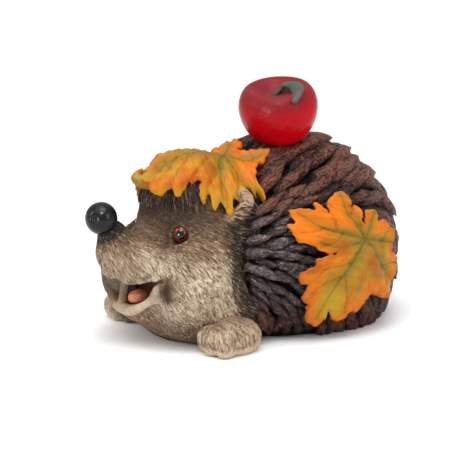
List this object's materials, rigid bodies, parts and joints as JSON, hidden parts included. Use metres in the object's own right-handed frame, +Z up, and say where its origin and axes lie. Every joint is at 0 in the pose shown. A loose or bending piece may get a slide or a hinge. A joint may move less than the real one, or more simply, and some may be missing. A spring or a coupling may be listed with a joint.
{
  "type": "hedgehog garden figurine",
  "caption": "Painted cast-resin hedgehog ornament with a smiling face, overlapping spines, an apple on its back and maple leaves on its brow and flank.",
  "frame": {"origin": "on the flat underside, below the middle of the spined back", "axes": "+Z up, the hedgehog looks along -Y and its left side is +X"},
  "size_m": [0.1331, 0.2163, 0.1483],
  "materials": {
    "spines": "cast resin, near-black brown wash with reddish dry-brushed crests",
    "fur": "cast resin with engraved fur strokes, tan and cream paint, dark brown wash in the grooves",
    "eye": "clear gloss over a black pupil and a red-brown ring",
    "nose": "gloss black paint",
    "tongue": "coral pink paint with a soft sheen",
    "leaf": "hand-painted orange edges over yellow and green, satin varnish",
    "apple": "satin red paint, darker at the foot",
    "stem": "dark brown paint",
    "apple_leaf": "dark green paint rubbed to brown"
  },
  "bodies": {
    "root": {"spined_back": "spines", "head": "fur", "lower_jaw": "fur", "chest": "fur", "paw_left": "fur", "paw_right": "fur", "ear_left": "fur", "ear_right": "fur", "eye_left": "eye", "eye_right": "eye", "nose": "nose", "tongue": "tongue", "leaf_head": "leaf", "leaf_flank": "leaf", "apple": "apple", "apple_stem": "stem", "apple_leaf": "apple_leaf"}
  },
  "joints": []
}
